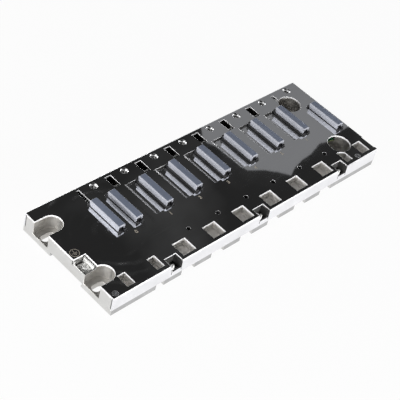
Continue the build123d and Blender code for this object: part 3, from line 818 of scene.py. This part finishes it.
class RACK_OT_base(RackOperator):
    """Die-cast base with softened edges, hook pockets painted paler as light, narrow pockets painted near-black as
    shade and the front of the feet painted darker as shade
    """

    bl_idname = "rack.base"
    bl_label = "Cast Base"

    def execute(self, context):
        settings = context.scene.rack.casting
        smooth = settings.recess_roughness
        # Cast skin, near-black painted shade, hook pockets painted paler as light, the fixing recess skin, and the
        # front of the feet painted darker as shade.
        materials = [
            cast_skin(settings), pocket_skin(settings),
            clouded("pocket skin painted lighter", settings.clean_metal, settings.clean, 0.82, 1500.0, 0.6, 0.00002),
            clouded("recess skin", settings.recess_metal, settings.recess, 0.86, 700.0, smooth, 0.000008),
            clouded("foot skin painted darker", settings.metal, settings.foot, 0.85, 1100.0, 0.4, 0.000012),
        ]
        recess = opening_zones("recess_right", RECESS_REACH) + opening_zones("slot_left", SLOT_REACH)
        # Below this height the front faces of the feet are painted darker as shade.
        foot = MOUNTS["fixing_right"]["pos_m"][2] + 0.001
        # Zones painted near-black as shade: the clip notches, the walls of the pin windows and the locating bores.
        darkened = notch_zones() + opening_zones("pin_window", PIN_WALL_REACH)
        darkened += round_zones(pattern_points("locating"), BORE_REACH)
        # Hook, half and end windows, whose pockets are painted paler as light.
        clean = [zone for name in ("hook_window", "half_window", "end_window")
                 for zone in opening_zones(name, HOOK_REACH)]

        def finish_of(face):
            """Number of a face's material."""
            middle = face.calc_center_median()
            if inside(middle, darkened):
                return POCKET_SHADE
            if inside(middle, clean):
                return POCKET_LIGHT
            if abs(face.normal.x) < 0.98 and inside(middle, recess):
                return RECESS
            return FOOT_SHADE if face.normal.y < -LEVEL and middle.z < foot else SKIN

        dressed("chassis", materials, settings.rounding, finish_of)
        return {"FINISHED"}


class RACK_OT_board(RackOperator):
    """Printed circuit board with tracks and a laminate edge"""

    bl_idname = "rack.board"
    bl_label = "Circuit Board"

    def execute(self, context):
        settings = context.scene.rack.board
        dressed("circuit_board", [board_mask(settings)], settings.rounding)
        return {"FINISHED"}


class RACK_OT_connectors(RackOperator):
    """Bus connector bodies"""

    bl_idname = "rack.connectors"
    bl_label = "Connectors"

    def execute(self, context):
        settings = context.scene.rack.moulding
        material = moulded("connector body", settings.body, settings.body_roughness, 1400.0, 0.000008)
        for letter in LETTERS:
            dressed("connector_" + letter, [material], settings.rounding)
        return {"FINISHED"}


class RACK_OT_caps(RackOperator):
    """Protective caps on the connectors, their tops painted darker as shade"""

    bl_idname = "rack.caps"
    bl_label = "Connector Caps"

    def execute(self, context):
        settings = context.scene.rack.moulding
        side = moulded("connector cap", settings.cap, settings.cap_roughness, 1700.0, 0.000004)
        crown = moulded("connector cap top painted darker", settings.crown, settings.cap_roughness, 1700.0, 0.000004)
        for letter in LETTERS:
            node = "cap_" + letter
            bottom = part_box(node)[0].z
            mesh = merged(node)
            rim = [vert for vert in mesh.verts if vert.co.z < bottom + MERGE]
            bmesh.ops.translate(mesh, verts=rim, vec=(0, 0, -settings.skirt))
            rounded(mesh, settings.rounding)
            # Upward faces take the darker top colour, a painted shade.
            piece = made(mesh, node + "_finished", [side, crown], lambda face: int(face.normal.z > 0.95))
            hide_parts(node)
        return {"FINISHED"}


class RACK_OT_terminal(RackOperator):
    """Ground terminal with its bracket, clamp and crossed screw"""

    bl_idname = "rack.terminal"
    bl_label = "Ground Terminal"

    def execute(self, context):
        settings = context.scene.rack.hardware
        tin = plated_hardware("tinned terminal", settings.tin, settings.roughness, settings.tin_metal, 0.00004)
        zinc = plated_hardware("terminal screw", settings.tin, settings.roughness, settings.tin_metal, 0.00002)
        for node in ("ground_bracket", "ground_clamp"):
            dressed(node, [tin], settings.rounding)
        low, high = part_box("ground_screw")
        centre = (low + high) / 2
        head = (high.x - low.x) / 2
        shank = 0.0016
        seat = high.z - 0.0022
        edge = seat + 0.0013
        tip = low.z + 0.0004
        chamfer = 0.0001
        profile = [(0.0, low.z), (shank * 0.8, low.z), (shank, tip), (shank, seat), (head - chamfer, seat)]
        profile += [(head, seat + chamfer), (head, edge)]
        for step in range(1, 6):
            angle = step * math.pi / 2 / 6
            profile.append((head * (0.55 + 0.45 * math.cos(angle)), edge + (high.z - edge) * math.sin(angle)))
        profile += [(head * 0.5, high.z), (0.0, high.z)]
        mesh = bmesh.new()
        lathe(mesh, profile, centre.x, centre.y)
        screw = made(mesh, "ground_screw_finished", [zinc])
        cut(screw, crossed_drive([(centre.x, centre.y)], high.z, head * 1.35, settings, 0.5))
        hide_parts("ground_screw")
        return {"FINISHED"}


class RACK_OT_fasteners(RackOperator):
    """Screws of the plate and the board, and the rivets of the rail springs"""

    bl_idname = "rack.fasteners"
    bl_label = "Fasteners"

    def execute(self, context):
        settings = context.scene.rack.hardware
        zinc = plated_hardware("zinc-plated screws", settings.zinc, settings.roughness)
        piece = dressed("plate_screws", [zinc], settings.head_rounding)
        points, radius = end_points("plate_screws")
        cut(piece, crossed_drive(points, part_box("plate_screws")[1].z, radius * 1.2, settings, 0.35))
        for node in ("board_screws", "spring_rivets"):
            dressed(node, [zinc], settings.rounding)
        return {"FINISHED"}


class RACK_OT_threads(RackOperator):
    """Threads in the module screw holes of the base"""

    bl_idname = "rack.threads"
    bl_label = "Screw Threads"

    def execute(self, context):
        rack = context.scene.rack
        settings = rack.hardware
        mount = MOUNTS["module_screws_outer"]
        bore = mount["dims"]["hole_r_mm"] / 1000
        half = settings.thread_pitch * 0.42
        z = mount["pos_m"][2] - half
        steps = settings.thread_turns * settings.thread_steps
        drop = Vector((0, 0, -settings.thread_pitch / settings.thread_steps))
        mesh = bmesh.new()
        for x, y in pattern_points("module_screws"):
            corners = [(x + bore, y, z + half), (x + bore - settings.thread_height, y, z), (x + bore, y, z - half)]
            face = sheet_of(mesh, corners)
            bmesh.ops.spin(mesh, geom=[face, *face.edges, *face.verts], cent=(x, y, z), axis=UP, dvec=drop,
                           angle=settings.thread_turns * math.tau, steps=steps, use_merge=False,
                           use_duplicate=False)
        bmesh.ops.recalc_face_normals(mesh, faces=mesh.faces)
        made(mesh, "module_screw_threads", [cast_skin(rack.casting)])
        return {"FINISHED"}


class RACK_OT_springs(RackOperator):
    """Spring clips in the notches, each with a near-white catch painted as a highlight, and rail springs in the
    channel
    """

    bl_idname = "rack.springs"
    bl_label = "Clips and Springs"

    def execute(self, context):
        settings = context.scene.rack.hardware
        steel = plated_hardware("spring steel", settings.spring, settings.roughness / 2, 0.9, 0.000001)
        darkened = plated_hardware("dark grey clip steel", settings.dulled, settings.roughness, 0.9, 0.000001)
        # The catch on each clip's front is near-white, a painted highlight; the rest of the clip is dark grey.
        bright = plated_hardware("painted catch highlight", settings.tin, settings.roughness, settings.tin_metal)
        for node in ("rail_spring_1", "rail_spring_2"):
            dressed(node, [steel], settings.rounding)
        width = settings.catch_width
        foot = settings.catch_foot
        sheet = 0.0005
        overlap = 0.0003
        below = 0.0006
        along = 0.0034
        for node in ("clip_1", "clip_2", "clip_3"):
            low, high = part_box(node)
            front = low.y - settings.catch_ahead
            top = high.z - below
            x = low.x + along
            mesh = rounded(merged(node), settings.rounding)
            # Front tab that carries the painted highlight.
            bar_shape(mesh, x, front + sheet / 2, foot + (top - foot) / 2, (width, sheet, top - foot))
            bar_shape(mesh, x, (front + low.y) / 2 + overlap, top, (width, low.y - front + 2 * overlap, sheet))
            # Faces at the front of the clip take the near-white painted highlight.
            piece = made(mesh, node + "_finished", [darkened, bright],
                         lambda face: int(face.calc_center_median().y < low.y + 0.0001))
            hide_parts(node)
        return {"FINISHED"}


class RACK_OT_bar(RackOperator):
    """Ground bar behind the pin windows"""

    bl_idname = "rack.bar"
    bl_label = "Ground Bar"

    def execute(self, context):
        settings = context.scene.rack.hardware
        zinc = plated_hardware("ground bar", settings.tin, settings.roughness, settings.tin_metal)
        dressed("ground_bar", [zinc], settings.rounding)
        return {"FINISHED"}


class RACK_OT_marks(RackOperator):
    """Printed slot numbers and the earth sign"""

    bl_idname = "rack.marks"
    bl_label = "Printed Marks"

    def execute(self, context):
        settings = context.scene.rack.mark
        ink = printed_ink(settings)
        for number, letter in enumerate(LETTERS[1:8]):
            low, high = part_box("connector_" + letter)
            left = settings.number_left if number else settings.first_left
            place = ((low.x + high.x) / 2 - left, low.y - settings.number_ahead, PLATE_TOP)
            self.number(str(number), place, settings, ink)
        self.sign(settings, ink)
        return {"FINISHED"}

    def number(self, text, place, settings, ink):
        """Thin printed number, read from the front edge."""
        curve = bpy.data.curves.new("number", "FONT")
        curve.body = text
        curve.size = settings.number_size
        curve.extrude = settings.film
        curve.offset = settings.number_weight
        curve.align_x = "CENTER"
        curve.align_y = "CENTER"
        holder = shown("number", curve)
        graph = bpy.context.evaluated_depsgraph_get()
        data = bpy.data.meshes.new_from_object(holder.evaluated_get(graph))
        bpy.data.objects.remove(holder)
        mesh = bmesh.new()
        mesh.from_mesh(data)
        bmesh.ops.remove_doubles(mesh, verts=mesh.verts, dist=MERGE)
        bmesh.ops.translate(mesh, verts=mesh.verts, vec=place)
        made(mesh, "number_" + text, [ink])

    def sign(self, settings, ink):
        """Earth sign: a ring, a stem and three shorter and shorter bars."""
        low, high = OPENINGS["ground_pocket"]
        x = (high[0] + low[0]) / 2 + settings.sign_right
        y = high[1] + settings.sign_behind
        line = settings.line
        film = 2 * settings.film
        radius = settings.sign_radius
        mesh = bmesh.new()
        lathe(mesh, [(radius - line, 0), (radius, 0), (radius, film), (radius - line, film), (radius - line, 0)], 0, 0)
        bar_shape(mesh, 0, radius * 0.4, film / 2, (line, radius * 0.8, film))
        for step in range(3):
            width = radius * (1.15 - 0.38 * step)
            bar_shape(mesh, 0, -step * radius * 0.24, film / 2, (width, line, film))
        bmesh.ops.recalc_face_normals(mesh, faces=mesh.faces)
        bmesh.ops.translate(mesh, verts=mesh.verts, vec=(x, y, PLATE_TOP - film / 2))
        made(mesh, "earth_sign", [ink])


class RACK_OT_stage(RackOperator):
    """Floor, camera, lamps and what the bright metal mirrors"""

    bl_idname = "rack.stage"
    bl_label = "Stage"

    def execute(self, context):
        settings = context.scene.rack.stage
        self.camera(settings)
        self.floor(settings)
        self.card(settings)
        self.surroundings(settings)
        self.lamps(settings)
        context.scene.view_settings.view_transform = "Standard"
        return {"FINISHED"}

    def camera(self, settings):
        """Camera at the photograph's place."""
        data = bpy.data.cameras.new("camera")
        data.lens = settings.lens
        data.sensor_width = 36.0
        data.clip_end = 50.0
        camera = shown("camera", data)
        camera.location = settings.camera_place
        camera.rotation_euler = settings.camera_turn
        bpy.context.scene.camera = camera

    def staged(self, mesh, name, material):
        """Object that belongs to the stage."""
        item = solid(mesh, name, [material])
        return item

    def floor(self, settings):
        """Pale floor that shows nearly white and keeps the rack's shadow."""
        mesh = bmesh.new()
        bmesh.ops.create_grid(mesh, x_segments=1, y_segments=1, size=settings.floor_size / 2)
        bmesh.ops.translate(mesh, verts=mesh.verts, vec=(0, 0, -0.0002))
        material, tree, shader = finish("pale floor", Roughness=0.9, Specular_IOR_Level=0.0,
                                        Base_Color=shaded([settings.floor_shade] * 3))
        path = put(tree, "ShaderNodeLightPath").outputs
        seen = maths(tree, "MAXIMUM", path["Is Camera Ray"], path["Is Glossy Ray"])
        seen = maths(tree, "MAXIMUM", seen, path["Is Transmission Ray"])
        white = put(tree, "ShaderNodeEmission", {"Strength": settings.floor_white})
        mixed = put(tree, "ShaderNodeMixShader", {0: maths(tree, "MULTIPLY", seen, settings.floor_glow),
                                                  1: shader.outputs[0], 2: white.outputs[0]})
        tree.links.new(mixed.outputs[0], tree.nodes["Material Output"].inputs["Surface"])
        self.staged(mesh, "floor", material)

    def card(self, settings):
        """Grey card overhead, which the plate mirrors as a paler patch at the right."""
        outline = [(0.691, 1.2), (0.691, 0.546), (0.666, 0.514), (0.676, 0.493), (0.680, 0.450), (0.683, 0.425),
                   (0.708, 0.409), (0.725, 0.392), (0.738, 0.373), (0.758, 0.383), (0.783, 0.389),
                   (0.810, 0.391), (0.843, 0.401), (0.861, 0.396), (0.894, 0.403), (1.5, 0.402), (1.5, 1.2)]
        height = 0.7
        mesh = bmesh.new()
        sheet_of(mesh, [(x, y, height) for x, y in outline])
        material = bpy.data.materials.new("grey card")
        material.use_nodes = True
        tree = material.node_tree
        tree.nodes.clear()
        path = put(tree, "ShaderNodeLightPath").outputs
        glow = put(tree, "ShaderNodeEmission", {"Color": (0.96, 0.97, 1.0, 1.0), "Strength": settings.card})
        clear = put(tree, "ShaderNodeBsdfTransparent")
        mixed = put(tree, "ShaderNodeMixShader", {0: path["Is Glossy Ray"], 1: clear.outputs[0],
                                                  2: glow.outputs[0]})
        put(tree, "ShaderNodeOutputMaterial", {"Surface": mixed.outputs[0]})
        card = self.staged(mesh, "grey_card", material)
        card.visible_shadow = False
        card.visible_diffuse = False
        card.visible_camera = False

    def surroundings(self, settings):
        """Pale walls low down and a dark ceiling, with plain soft light from both."""
        world = bpy.data.worlds.new("studio")
        bpy.context.scene.world = world
        world.use_nodes = True
        tree = world.node_tree
        direction = put(tree, "ShaderNodeTexCoord").outputs["Generated"]
        height = put(tree, "ShaderNodeSeparateXYZ", {0: direction})
        low = ramp(tree, height.outputs["Z"], 0.36, 0.50, 1.0, 0.0)
        path = put(tree, "ShaderNodeLightPath").outputs
        clouds = ramp(tree, noise(tree, direction, 11.0, 3.0, 0.55), 0.5, 0.72)
        above = blend(tree, clouds, shaded([settings.ceiling] * 3), shaded([settings.mottle] * 3))
        mirrored = blend(tree, low, above, shaded([settings.horizon] * 3))
        light = blend(tree, low, shaded([settings.sky_light] * 3), shaded([settings.wall_light] * 3))
        seen = blend(tree, path["Is Glossy Ray"], light, mirrored)
        white = maths(tree, "MAXIMUM", path["Is Camera Ray"], path["Is Transmission Ray"])
        tone = blend(tree, white, seen, (1.0, 1.0, 1.0, 1.0))
        tree.links.new(tone, tree.nodes["Background"].inputs["Color"])

    def lamps(self, settings):
        """Wide soft lamps low down and high at the left end, and weaker ones behind and overhead."""
        low = (1.3, 0.20)
        places = (("left lamp", (-0.95, 0.0, 0.15), low, settings.left_power),
                  ("front lamp", (0.0, -0.90, 0.15), low, settings.front_power),
                  ("right lamp", (1.1, 0.1, 0.11), low, settings.back_power),
                  ("back lamp", (0.0, 1.0, 0.11), low, settings.back_power),
                  ("top lamp", (-0.15, -0.1, 1.1), (0.6, 0.6), settings.top_power),
                  ("high lamp", (-0.92, 0.20, 0.62), (1.2, 0.5), settings.high_power))
        for name, place, size, power in places:
            data = bpy.data.lights.new(name, "AREA")
            data.shape = "RECTANGLE"
            data.size, data.size_y = size
            data.energy = power
            lamp = shown(name, data)
            lamp.location = place
            lamp.rotation_euler = (-Vector(place)).to_track_quat("-Z", "Y").to_euler()


OPERATORS = (RACK_OT_stage, RACK_OT_plate, RACK_OT_base, RACK_OT_board, RACK_OT_connectors, RACK_OT_caps,
             RACK_OT_terminal, RACK_OT_fasteners, RACK_OT_threads, RACK_OT_springs, RACK_OT_bar, RACK_OT_marks)


class RACK_PT_panel(bpy.types.Panel):
    """Lists the rack's pieces in the sidebar."""

    bl_label = "Rack Backplane"
    bl_idname = "RACK_PT_panel"
    bl_space_type = "VIEW_3D"
    bl_region_type = "UI"
    bl_category = "Rack"

    def draw(self, context):
        for operator in OPERATORS:
            self.layout.operator(operator.bl_idname)


CLASSES = (PlateSettings, CastingSettings, BoardSettings, MouldingSettings, HardwareSettings, MarkSettings,
           StageSettings, RackSettings, *OPERATORS, RACK_PT_panel)


def register():
    """Add the classes and the settings."""
    for item in CLASSES:
        bpy.utils.register_class(item)
    bpy.types.Scene.rack = PointerProperty(type=RackSettings)


def unregister():
    """Take the settings and the classes away again."""
    del bpy.types.Scene.rack
    for item in reversed(CLASSES):
        bpy.utils.unregister_class(item)


def main():
    """Build every piece in order."""
    register()
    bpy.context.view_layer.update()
    for operator in OPERATORS:
        getattr(bpy.ops.rack, operator.bl_idname.split(".")[1])()


if __name__ == "__main__":
    main()
